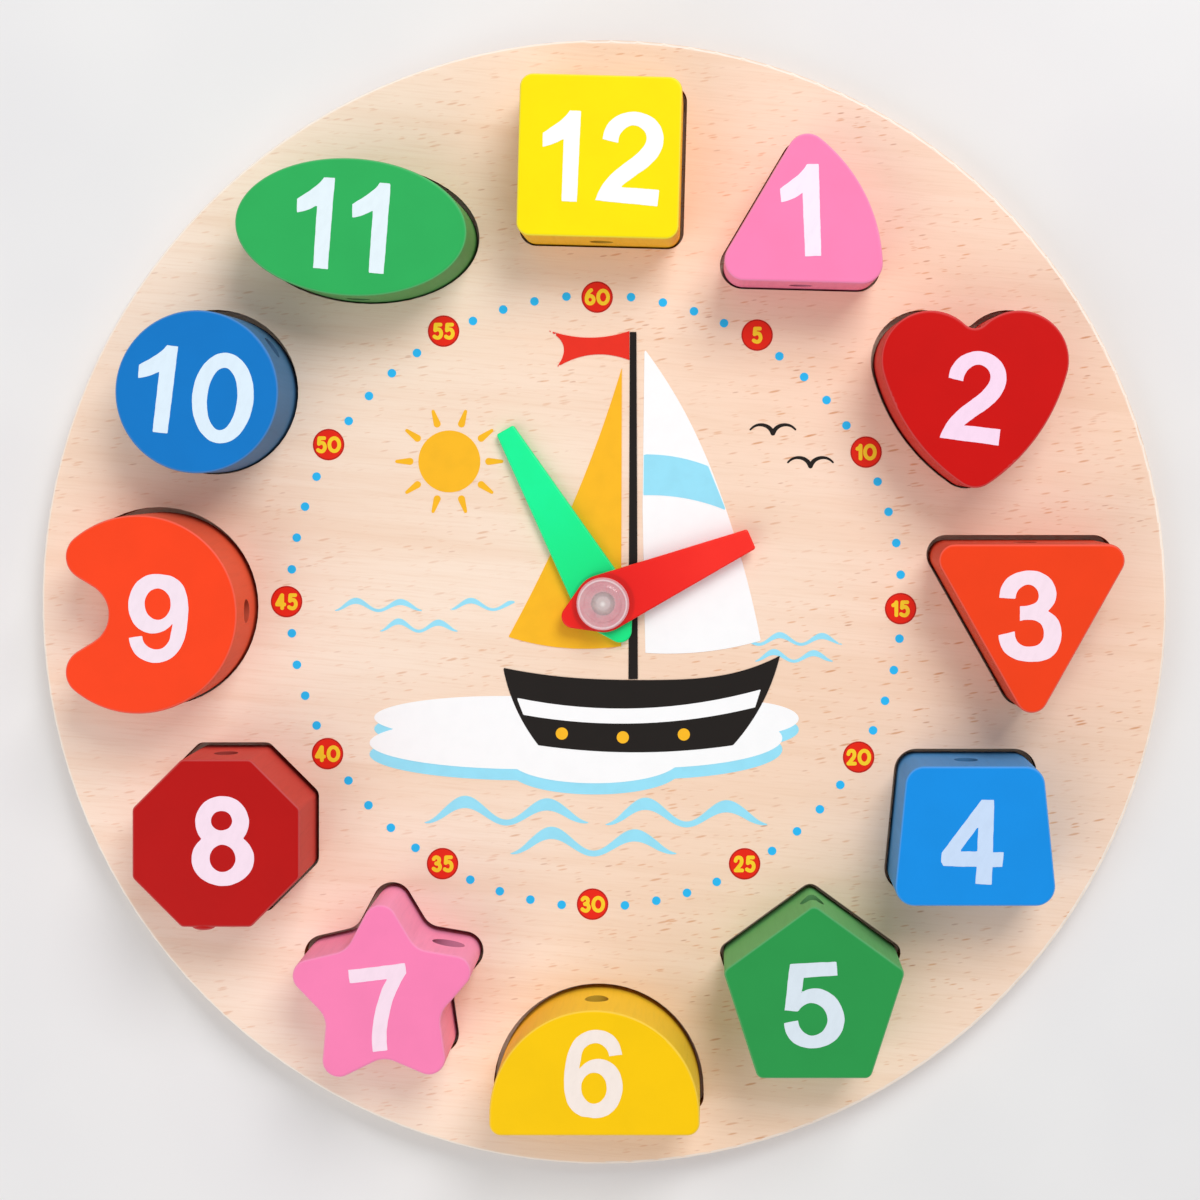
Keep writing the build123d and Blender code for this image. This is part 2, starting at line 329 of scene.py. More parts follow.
def rounds(name, middles, radius, rings, sides, thick, finish):
    """
    Flat round dots of ink on the board: each is a fan of rings of points about its middle, and
    all of them are made at once as one mesh.
    """
    turns = np.arange(sides) * 2 * np.pi / sides
    reach = np.linspace(0.0, radius, rings + 1)[1:]
    ring = np.stack([np.outer(reach, np.cos(turns)), np.outer(reach, np.sin(turns))], axis=-1)
    dot = np.vstack([[0.0, 0.0], ring.reshape(-1, 2)])
    flat = (np.asarray(middles, float)[:, None, :] + dot[None, :, :]).reshape(-1, 2)
    points = np.column_stack([flat, np.full(len(flat), BOARD_TOP + thick)])
    first = np.arange(len(middles))[:, None, None] * len(dot)
    side = np.arange(sides)
    after = (side + 1) % sides
    fan = np.stack([np.zeros(sides, int), 1 + side, 1 + after], axis=-1)
    faces = (first + fan).reshape(-1, 3).tolist()
    for inner in range(1, 1 + (rings - 1) * sides, sides):
        outer = inner + sides
        band = np.stack([inner + side, outer + side, outer + after, inner + after], axis=-1)
        faces += (first + band).reshape(-1, 4).tolist()
    coat(name, points, faces, thick, finish, "board")


def film(name, apart, low, high, cell, base, thick, finish, body):
    """
    A thin coat with any outline. apart(x, y) is how far a point is outside the outline,
    negative inside. A grid of square cells is laid over the box from low to high, the cells
    whose middle is inside are kept, and the corners at the edge of what is kept slide along
    the slope of apart onto the outline, in four steps of at most half a cell.
    """
    across = np.arange(low[0], high[0] + cell, cell)
    up = np.arange(low[1], high[1] + cell, cell)
    x, y = np.meshgrid(across, up, indexing="ij")
    kept = apart(x[:-1, :-1] + cell / 2, y[:-1, :-1] + cell / 2) < 0.0
    around = np.zeros(x.shape, int)
    for right in (0, 1):
        for above in (0, 1):
            around[right:right + kept.shape[0], above:above + kept.shape[1]] += kept
    edge = (around > 0) & (around < 4)
    step = cell * 0.05
    edge_x, edge_y = x[edge], y[edge]
    for _ in range(4):
        gap = apart(edge_x, edge_y)
        slope_x = (apart(edge_x + step, edge_y) - apart(edge_x - step, edge_y)) / (2 * step)
        slope_y = (apart(edge_x, edge_y + step) - apart(edge_x, edge_y - step)) / (2 * step)
        steep = np.maximum(slope_x**2 + slope_y**2, 0.25)
        edge_x = edge_x - np.clip(gap * slope_x / steep, -0.5 * cell, 0.5 * cell)
        edge_y = edge_y - np.clip(gap * slope_y / steep, -0.5 * cell, 0.5 * cell)
    x[edge], y[edge] = edge_x, edge_y
    used = around > 0
    number = np.cumsum(used.ravel()).reshape(x.shape) - 1
    points = np.stack([x[used], y[used], np.full(used.sum(), base + thick)], axis=1)
    corners = (number[:-1, :-1], number[1:, :-1], number[1:, 1:], number[:-1, 1:])
    faces = np.stack(corners, axis=-1)[kept].tolist()
    coat(name, points, faces, thick, finish, body)


def stroke(x, y, path, width, taper=None):
    """
    How far a point is outside a round-ended stroke along a line of points: its distance to the
    nearest run, less half the width there.
    """
    points = np.asarray(path, float)
    widths = np.linspace(width, width if taper is None else taper, len(points))
    nearest = np.full(x.shape, 1e9)
    for here, there, wide, wider in zip(points[:-1], points[1:], widths[:-1], widths[1:]):
        run = there - here
        share = ((x - here[0]) * run[0] + (y - here[1]) * run[1]) / (run @ run)
        share = np.clip(share, 0.0, 1.0)
        reach = np.hypot(x - here[0] - share * run[0], y - here[1] - share * run[1])
        nearest = np.minimum(nearest, reach - (wide + share * (wider - wide)) / 2)
    return nearest


def bend(points, steps=8):
    """
    A smooth line through a few points: the cubic spline over the length of the straight runs
    between them. Its bend, the second derivative, runs on evenly through each point, and is
    the same all along the first run and all along the last.
    """
    knots = np.asarray(points, float)
    runs = np.hypot(*np.diff(knots, axis=0).T)
    slopes = np.diff(knots, axis=0) / runs[:, None]
    rows = np.zeros((len(knots), len(knots)))
    inner = np.arange(1, len(knots) - 1)
    rows[inner, inner - 1] = runs[:-1]
    rows[inner, inner] = 2.0 * (runs[:-1] + runs[1:])
    rows[inner, inner + 1] = runs[1:]
    rows[0, :2] = (1.0, -1.0)
    rows[-1, -2:] = (1.0, -1.0)
    turning = np.vstack([[0.0, 0.0], 6.0 * np.diff(slopes, axis=0), [0.0, 0.0]])
    bends = np.linalg.lstsq(rows, turning, rcond=None)[0][:, None, :]
    share = np.linspace(0.0, 1.0, steps, endpoint=False)[None, :, None]
    left = 1.0 - share
    line = left * knots[:-1, None, :] + share * knots[1:, None, :]
    sag = (left**3 - left) * bends[:-1] + (share**3 - share) * bends[1:]
    line = line + runs[:, None, None] ** 2 / 6.0 * sag
    return np.vstack([line.reshape(-1, 2), knots[-1]])


def oval(x, y, middle, reach_x, reach_y):
    """
    How far a point is outside an ellipse, near enough: its scaled radius less one, over the
    slope of that radius.
    """
    across = (x - middle[0]) / reach_x
    up = (y - middle[1]) / reach_y
    out = np.hypot(across, up)
    slope = np.maximum(np.hypot(across / reach_x, up / reach_y), 1e-9)
    return out * (out - 1.0) / slope


# The strokes of the ring's small figures, as the middle line of a brush that fills a box one
# wide and one high: smooth lines and straight bars are lists of points (across, up), and a ring
# is (middle, reach across, reach up).
STROKES = {
    "0": {"rings": [((0.5, 0.5), 0.5, 0.5)]},
    "1": {
        "bars": [((0.95, 1.0), (0.95, 0.0))],
        "lines": [[(0.95, 0.97), (0.50, 0.84), (0.0, 0.76)]],
    },
    "2": {
        "bars": [((0.05, 0.0), (0.98, 0.0))],
        "lines": [
            [(0.05, 0.74), (0.20, 0.94), (0.52, 1.0), (0.86, 0.88), (0.90, 0.66), (0.62, 0.36),
             (0.12, 0.02)],
        ],
    },
    "3": {
        "lines": [
            [(0.08, 0.86), (0.30, 0.99), (0.58, 0.99), (0.84, 0.84), (0.76, 0.60), (0.42, 0.52)],
            [(0.42, 0.52), (0.84, 0.46), (0.98, 0.24), (0.76, 0.03), (0.42, 0.0), (0.06, 0.12)],
        ],
    },
    "4": {
        "bars": [((0.02, 0.28), (0.98, 0.28)), ((0.70, 1.0), (0.70, 0.0))],
        "lines": [[(0.66, 1.0), (0.02, 0.30)]],
    },
    "5": {
        "bars": [((0.22, 1.0), (0.88, 1.0)), ((0.22, 1.0), (0.16, 0.62))],
        "lines": [
            [(0.16, 0.56), (0.50, 0.64), (0.86, 0.54), (0.98, 0.30), (0.78, 0.04), (0.42, -0.02),
             (0.04, 0.08)],
        ],
    },
    "6": {
        "rings": [((0.52, 0.30), 0.46, 0.30)],
        "lines": [[(0.06, 0.34), (0.12, 0.60), (0.34, 0.86), (0.66, 1.04)]],
    },
}
MINUTE_HEIGHT = 3.55 * MM
MINUTE_BRUSH = 0.80 * MM
MINUTE_GAP = 0.12 * MM
MINUTE_CELL = 0.12 * MM
# Half the room that a minute's one or two figures take, across and upwards.
MINUTE_ROOM = (3.2 * MM, 2.2 * MM)
# The figures stand close together: the 0 is wide and round, and the 1 is narrow. In millimetres.
MINUTE_WIDTHS = {"0": 2.90, "1": 1.50, "2": 2.30, "3": 2.30, "4": 2.40, "5": 2.35, "6": 2.45}


def figure(x, y, digit, middle, width):
    """
    How far a point is outside one printed figure: the least of its distances to the figure's
    strokes. The box of middle lines is the figure's own box less one brush width each way.
    """
    half = MINUTE_BRUSH / 2
    room = np.array([width - MINUTE_BRUSH, MINUTE_HEIGHT - MINUTE_BRUSH])
    across = x - middle[0]
    up = y - middle[1]
    shape = STROKES[digit]
    gaps = []
    for spot, reach_x, reach_y in shape.get("rings", []):
        spot = (np.asarray(spot) - 0.5) * room
        reach_x, reach_y = reach_x * room[0], reach_y * room[1]
        outer = oval(across, up, spot, reach_x + half, reach_y + half)
        inner = oval(across, up, spot, reach_x - half, reach_y - half)
        gaps.append(np.maximum(outer, -inner))
    for line in shape.get("bars", []) + [bend(line) for line in shape.get("lines", [])]:
        gaps.append(stroke(across, up, (np.asarray(line) - 0.5) * room, MINUTE_BRUSH))
    return np.minimum.reduce(gaps)


def minute_figures(x, y, minute, place):
    """How far a point is outside a minute's one or two figures, side by side about its place."""
    widths = np.array([MINUTE_WIDTHS[digit] for digit in str(minute)]) * MM
    starts = np.concatenate([[0.0], np.cumsum(widths + MINUTE_GAP)])
    middles = starts[:-1] + widths / 2 - (starts[-1] - MINUTE_GAP) / 2
    return np.minimum.reduce([
        figure(x, y, digit, (place[0] + middle, place[1]), width)
        for digit, middle, width in zip(str(minute), middles, widths)
    ])


def mark_of(minute, ring, slip=(0.0, 0.0)):
    """
    Where a minute's mark stands, in metres: on its ring's circle, plus the swing at twice the
    angle, plus its own slip.
    """
    middle_x, middle_y, radius, turn, swing = ring
    angle = math.radians(minute * 6.0 + turn)
    x = middle_x + radius * math.sin(angle) + swing * math.sin(2 * angle) + slip[0]
    y = middle_y + radius * math.cos(angle) + swing * math.cos(2 * angle) + slip[1]
    return (x * MM, y * MM)


red_ink = ink("red_ink", (238, 36, 12))
rim_ink = ink("dark_red_ink", (196, 30, 16))
yellow_ink = ink("yellow_ink", (255, 214, 44))
dot_ink = ink("blue_dot_ink", (42, 190, 250))

fives = {minute: mark_of(minute, SPOT_RING, slip) for minute, slip in SPOT_SLIPS.items()}
singles = [mark_of(minute, DOT_RING) for minute in range(1, 60) if minute % 5]
spots = list(fives.values())
rounds("minute_spot_rims", spots, SPOT_RADIUS, 2, 40, INK, rim_ink)
rounds("minute_spots", spots, SPOT_RADIUS - SPOT_RIM, 2, 40, 2 * INK, red_ink)
rounds("minute_dots", singles, DOT_RADIUS, 1, 20, INK, dot_ink)
for minute, place in fives.items():
    figures = partial(minute_figures, minute=minute, place=place)
    low = np.subtract(place, MINUTE_ROOM)
    high = np.add(place, MINUTE_ROOM)
    base = BOARD_TOP + 2 * INK
    film(f"minute_{minute:02d}", figures, low, high, MINUTE_CELL, base, INK, yellow_ink, "board")

# ------------------------------------------------------------------ the picture
# A plain nursery picture of a sailing boat, printed in flat inks on the middle of the dial:
# light blue waves and a bank of foam first, then the hull, mast, sails, pennant and sun.

# Each wave: where it starts from the middle of the dial, its length, how many humps it has,
# how high they are and how thick its line is. All but the number of humps is in millimetres.
WAVES = {
    "wave_1": ((-57.6, -1.8), 19.0, 2.0, 1.7, 1.3),
    "wave_2": ((-48.0, -6.2), 17.0, 2.0, 1.7, 1.3),
    "wave_3": ((-33.0, -1.6), 14.0, 1.5, 1.6, 1.2),
    "wave_4": ((24.0, -9.0), 27.0, 3.0, 1.7, 1.3),
    "wave_5": ((32.0, -12.6), 17.0, 2.0, 1.6, 1.3),
    "wave_6": ((-38.3, -47.0), 35.0, 2.0, 3.6, 2.6),
    "wave_7": ((0.3, -47.4), 34.6, 2.0, 3.6, 2.6),
    "wave_8": ((-20.0, -53.6), 35.5, 2.0, 3.6, 2.6),
}
# Each oval of the bank: its middle, and how far it reaches across and upwards, in millimetres.
# The same bank in light blue, moved down by the foam's edge, shows below the white one.
FOAM = (
    ((-22.0, -24.6), 27.0, 4.6),
    ((8.0, -29.0), 30.0, 6.4),
    ((-16.0, -30.0), 34.0, 5.6),
    ((-2.0, -33.6), 18.0, 5.0),
    ((28.0, -24.8), 13.5, 3.8),
)
FOAM_EDGE = 2.4 * MM
WIDE_CELL = 0.35 * MM
FINE_CELL = 0.25 * MM


def printed(name, apart, low, high, cell, layers, colour_ink):
    """A film of so many layers of ink on the board, in the picture."""
    film("picture_" + name, apart, low, high, cell, BOARD_TOP, layers * INK, colour_ink, "board")


def patch(x, y, outline):
    """
    How far a point is outside a closed outline of points: its distance to the nearest side,
    negative where a ray crosses an odd number of sides.
    """
    points = np.asarray(outline, float)
    nearest = np.full(x.shape, 1e9)
    inside = np.zeros(x.shape, bool)
    for here, there in zip(points, np.roll(points, -1, axis=0)):
        run = there - here
        share = ((x - here[0]) * run[0] + (y - here[1]) * run[1]) / max(run @ run, 1e-18)
        share = np.clip(share, 0.0, 1.0)
        reach = np.hypot(x - here[0] - share * run[0], y - here[1] - share * run[1])
        nearest = np.minimum(nearest, reach)
        crosses = (here[1] > y) != (there[1] > y)
        rise = there[1] - here[1] if there[1] != here[1] else 1e-12
        inside ^= crosses & (x < here[0] + (y - here[1]) * run[0] / rise)
    return np.where(inside, -nearest, nearest)


def loop(*parts):
    """
    A closed outline in millimetres: a pair is a corner, and a list is a smooth line through
    its points.
    """
    lines = [bend(part) if isinstance(part, list) else np.array([part], float) for part in parts]
    return np.vstack(lines) * MM


def ripple(x, y, start, length, humps, swing, thick):
    """
    How far a point is outside a wave mark: its height over a sine line whose humps get lower on
    the way, less half a thickness that is widest on the crests and runs out at both ends.
    """
    share = (x - start[0]) / length
    turn = 2 * np.pi * humps * share
    sinking = np.clip(1.3 - 0.3 * share, 0, 2)
    middle = start[1] + swing * (0.5 - 0.5 * np.cos(turn)) * sinking
    ending = np.clip(np.minimum(share, 1 - share) * 9, 0.0, 1.0) ** 0.6
    half = thick / 2 * (0.74 + 0.26 * np.cos(turn + np.pi)) * ending
    flat = 1 / np.sqrt(1 + (np.pi * humps * swing / length * np.sin(turn)) ** 2)
    ends = np.maximum(start[0] - x, x - start[0] - length)
    return np.maximum((np.abs(y - middle) - half) * flat, ends)


def bank(x, y, drop):
    """How far a point is outside the bank of foam, moved down by drop: the nearest of its ovals."""
    return np.minimum.reduce([
        oval(x, y + drop, (middle[0] * MM, middle[1] * MM), reach_x * MM, reach_y * MM)
        for middle, reach_x, reach_y in FOAM
    ])


sky_ink = ink("light_blue_ink", (156, 230, 252))
white_ink = ink("white_ink", (255, 255, 255), unevenness=0.0176)
black_ink = ink("black_ink", (32, 27, 24), rough=0.32)
amber_ink = ink("amber_ink", (255, 190, 34))
flag_ink = ink("flag_red_ink", (236, 48, 30))

for name, (start, length, humps, swing, thick) in WAVES.items():
    start = (start[0] * MM, start[1] * MM)
    low = (start[0] - MM, start[1] - (thick + 1) * MM)
    high = (start[0] + (length + 1) * MM, start[1] + (swing + thick + 1) * MM)
    wave = partial(
        ripple, start=start, length=length * MM, humps=humps, swing=swing * MM, thick=thick * MM
    )
    printed(name, wave, low, high, FINE_CELL, 1, sky_ink)

low, high = (-52 * MM, -45 * MM), (44 * MM, -18 * MM)
printed("foam_edge", partial(bank, drop=FOAM_EDGE), low, high, WIDE_CELL, 1, sky_ink)
printed("foam", partial(bank, drop=0.0), low, high, WIDE_CELL, 2, white_ink)

# The boat's parts: the ink, the layers that it stands above the board, and the outline.
DRAWN = {
    "hull": (black_ink, 3, loop(
        [(-21.5, -14.0), (-8.0, -16.0), (10.0, -16.6), (28.0, -15.0), (37.5, -11.4)],
        [(37.5, -11.4), (34.0, -21.0), (27.5, -30.5)],
        [(27.5, -30.5), (8.0, -32.0), (-14.0, -30.5)],
        [(-14.0, -30.5), (-18.6, -23.0), (-21.5, -14.0)],
    )),
    "hull_stripe": (white_ink, 4, loop(
        [(-18.6, -20.4), (8.0, -22.6), (33.4, -18.6)],
        [(32.2, -22.4), (8.0, -25.8), (-17.2, -24.0)],
    )),
    "mast": (black_ink, 3, loop((5.2, -16.4), (5.5, 57.6), (6.9, 57.6), (7.2, -16.4))),
    "main_sail": (white_ink, 3, loop(
        [(8.6, 54.0), (17.5, 40.0), (26.6, 18.0), (33.4, -8.2)],
        [(33.4, -8.2), (21.0, -10.6), (8.8, -10.8)],
        (8.2, 20.0),
    )),
    "main_sail_band": (sky_ink, 4, loop(
        [(8.5, 31.5), (15.0, 31.0), (22.2, 29.0)],
        [(26.0, 19.6), (17.0, 22.2), (8.4, 22.8)],
    )),
    "jib": (amber_ink, 3, loop(
        [(3.8, 50.0), (-3.0, 30.0), (-10.6, 12.0), (-20.4, -7.4)],
        [(-20.4, -7.4), (-8.0, -9.8), (3.6, -9.4)],
    )),
    "pennant": (flag_ink, 3, loop(
        [(5.4, 57.8), (-2.0, 56.4), (-12.6, 58.2)],
        [(-12.6, 58.2), (-8.6, 54.4), (-10.2, 50.0)],
        [(-10.2, 50.0), (-2.0, 52.8), (5.4, 51.6)],
    )),
}
for name, (colour_ink, layers, outline) in DRAWN.items():
    low = outline.min(axis=0) - 0.5 * MM
    high = outline.max(axis=0) + 0.5 * MM
    printed(name, partial(patch, outline=outline), low, high, WIDE_CELL, layers, colour_ink)

# The portholes, the sun with its beams, and two birds, whose wings are thin tapering strokes.
# A stroke's widths are those at its start and at its end.
PORTHOLES = [(-9.0 * MM, -28.0 * MM), (4.0 * MM, -28.8 * MM), (17.0 * MM, -28.2 * MM)]
PORTHOLE_RADIUS = 1.3 * MM
SUN = np.array([-33.0 * MM, 30.0 * MM])
SUN_RADIUS = 6.6 * MM
BEAMS = 10
BEAM_START = 8.4 * MM
BEAM_END = 11.2 * MM
BEAM_WIDTHS = (1.5 * MM, 0.7 * MM)
BEAM_ROOM = 12.5 * MM
BIRDS = {"bird_1": (36.0, 36.0), "bird_2": (44.0, 29.0)}
WING = np.array([(0.0, 0.0), (1.3, 1.5), (3.0, 1.8), (4.8, 0.8)])
WING_WIDTHS = (1.0 * MM, 0.4 * MM)
WING_CELL = 0.2 * MM


def tapers(x, y, paths, widths):
    """How far a point is outside several tapering strokes: its distance to the nearest."""
    return np.minimum.reduce([stroke(x, y, path, *widths) for path in paths])


rounds("picture_portholes", PORTHOLES, PORTHOLE_RADIUS, 2, 28, 4 * INK, amber_ink)
rounds("picture_sun", [SUN], SUN_RADIUS, 3, 56, INK, amber_ink)
turns = np.arange(BEAMS) * 2 * np.pi / BEAMS
ways = np.stack([np.cos(turns), np.sin(turns)], axis=1)
beams = list(zip(SUN + BEAM_START * ways, SUN + BEAM_END * ways))
beaming = partial(tapers, paths=beams, widths=BEAM_WIDTHS)
printed("sun_beams", beaming, SUN - BEAM_ROOM, SUN + BEAM_ROOM, FINE_CELL, 1, amber_ink)
for name, (spot_x, spot_y) in BIRDS.items():
    wings = [bend((WING * (side, 1.0) + (spot_x, spot_y)) * MM) for side in (-1, 1)]
    pair = partial(tapers, paths=wings, widths=WING_WIDTHS)
    low = ((spot_x - 6.0) * MM, (spot_y - 1.2) * MM)
    high = ((spot_x + 6.0) * MM, (spot_y + 3.4) * MM)
    printed(name, pair, low, high, WING_CELL, 1, black_ink)

# ------------------------------------------------------------------ the twelve blocks
# Each block is sawn from a solid strip of wood, drilled through for a lace, dipped in satin
# paint and polished on its numbered side. The sides stay duller, with the grain showing, and
# their colour is lightened with painted light.

# The two colours of each block: its numbered side, and its flanks, whose colour is partly painted light.
PAINTS = {
    "bowed_triangle_block_1": ((255, 134, 184), (252, 140, 178)),
    "heart_block_2": ((206, 12, 8), (208, 42, 34)),
    "triangle_block_3": ((244, 66, 24), (214, 66, 36)),
    "trapezoid_block_4": ((20, 145, 232), (78, 150, 212)),
    "pentagon_block_5": ((44, 154, 76), (104, 180, 104)),
    "arch_block_6": ((255, 205, 0), (255, 206, 50)),
    "star_block_7": ((255, 134, 184), (255, 156, 194)),
    "octagon_block_8": ((188, 14, 12), (208, 72, 62)),
    "bitten_disc_block_9": ((255, 70, 28), (240, 92, 58)),
    "disc_block_10": ((16, 122, 202), (76, 126, 174)),
    "oval_block_11": ((48, 178, 92), (88, 162, 88)),
    "square_block_12": ((255, 233, 0), (255, 198, 38)),
}
BLOCK_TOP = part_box("square_block_12")[1].z
BORES = {
    mount["name"].split("_")[-1]: mount
    for mount in frame["record"]["mounts"]
    if "bore" in mount["name"]
}


def paint(name, top, side, bore):
    """
    Satin paint on wood: full colour on the numbered side, a duller coat with grain on the
    sides, its colour lightened as painted light for the light the sides catch, a painted
    highlight as a paler line round the polished edge, and a thin dark stain of the paint on the
    wall of the bore, which is all that lies within the bore's radius of its axis.
    of the bore, which is all that lies within the bore's radius of its axis.
    """
    material, tree, shader = finish_of(name, Specular_IOR_Level=0.14)
    up = upward(tree)
    full = rgb(*top)
    flank_paint_and_light = rgb(*side)
    cloud = fade(tree, noise(tree, 9.0, detail=3.0), 0.30, 0.75)
    face = blend(tree, times(tree, cloud, 0.55), full, shade(full, 0.93))
    grain = fade(tree, noise(tree, (0.9, 0.9, 12.0), detail=4.0, rough=0.6), 0.40, 0.78)
    # The sides' colour is partly the duller paint and partly painted light, lighter than the paint
    # alone.
    flank = blend(tree, times(tree, grain, 0.35), flank_paint_and_light, shade(flank_paint_and_light, 0.80))
    colour = blend(tree, fade(tree, up, 0.35, 0.90), flank, face)
    # Painted highlight: a paler line along the rounded top edge, where light glints.
    rim_highlight = times(tree, fade(tree, up, 0.25, 0.60), fade(tree, up, 0.97, 0.80))
    colour = blend(tree, times(tree, rim_highlight, 0.40), colour, shade(full, 0.95, 0.16))
    from_bore = put(
        tree, "ShaderNodeVectorMath", {0: place_on(tree), 1: bore["pos_m"]}, operation="SUBTRACT"
    )
    around = put(
        tree,
        "ShaderNodeVectorMath",
        {0: from_bore.outputs[0], 1: bore["axis"]},
        operation="CROSS_PRODUCT",
    )
    reach = put(tree, "ShaderNodeVectorMath", {0: around.outputs[0]}, operation="LENGTH")
    radius = bore["dims"]["r_mm"] * MM
    drilled = fade(tree, reach.outputs["Value"], radius + 0.10 * MM, radius + 0.03 * MM)
    colour = blend(tree, drilled, colour, shade(flank_paint_and_light, 0.60, 0.02))
    gloss = fade(tree, up, 0.4, 0.95, 0.58, 0.40, "LINEAR")
    lead(tree, shader, Base_Color=colour, Roughness=gloss)
    hills(tree, shader, noise(tree, 1.6, detail=3.0, rough=0.55), 0.30, 0.05 * MM)
    return material


for node, (top, side) in PAINTS.items():
    dress(node, paint("paint_" + node, top, side, BORES[node.split("_")[-1]]))

# A run of the dark red paint has dried as a low drop over the lower edge of the octagon, left of
# its middle: an egg, whose rings shrink as the cosine of their rise and are fuller above.
# Its middle and half sizes are in metres.
DROP_MIDDLE = (-0.0815, -0.06535, 0.0231)
DROP_REACH = (0.0024, 0.0009, 0.0013)
DROP_SIDES = 24
DROP_RINGS = 11
turns = np.arange(DROP_SIDES) * 2 * np.pi / DROP_SIDES
rises = np.arange(1, DROP_RINGS + 1) * np.pi / (DROP_RINGS + 1) - np.pi / 2
turn, rise = np.meshgrid(turns, rises, indexing="ij")
swell = np.cos(rise) * (1.0 + 0.25 * np.sin(rise))
egg = np.stack([swell * np.cos(turn), swell * np.sin(turn), np.sin(rise)], axis=-1)
egg = np.vstack([egg.reshape(-1, 3), [[0.0, 0.0, -1.0], [0.0, 0.0, 1.0]]])
foot, crown = len(egg) - 2, len(egg) - 1
count = np.arange(foot).reshape(DROP_SIDES, DROP_RINGS)
after = np.roll(count, -1, axis=0)
walls = np.stack([count[:, :-1], after[:, :-1], after[:, 1:], count[:, 1:]], axis=-1)
bottom = np.stack([np.full(DROP_SIDES, foot), after[:, 0], count[:, 0]], axis=1)
lid = np.stack([count[:, -1], after[:, -1], np.full(DROP_SIDES, crown)], axis=1)
drop_faces = walls.reshape(-1, 4).tolist() + bottom.tolist() + lid.tolist()
drop_mesh = bpy.data.meshes.new("paint_drop")
drop_mesh.from_pydata((egg * DROP_REACH + DROP_MIDDLE).tolist(), [], drop_faces)
drop_mesh.polygons.foreach_set("use_smooth", [True] * len(drop_faces))
drop_mesh.materials.append(frame["nodes"]["octagon_block_8"].data.materials[0])
drop = bpy.data.objects.new("paint_drop", drop_mesh)
bpy.context.scene.collection.objects.link(drop)
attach(drop, "octagon_block_8")

# ------------------------------------------------------------------ the painted numbers
# The numbers are brushed or stamped on by hand in thick white paint, so their edges waver a
# little and no two are quite alike.
PAINT_COAT = 0.06 * MM
WAVER = 0.055 * MM
NUMBER_CELL = 0.25 * MM
NUMBER_ROOM = 1.6 * MM
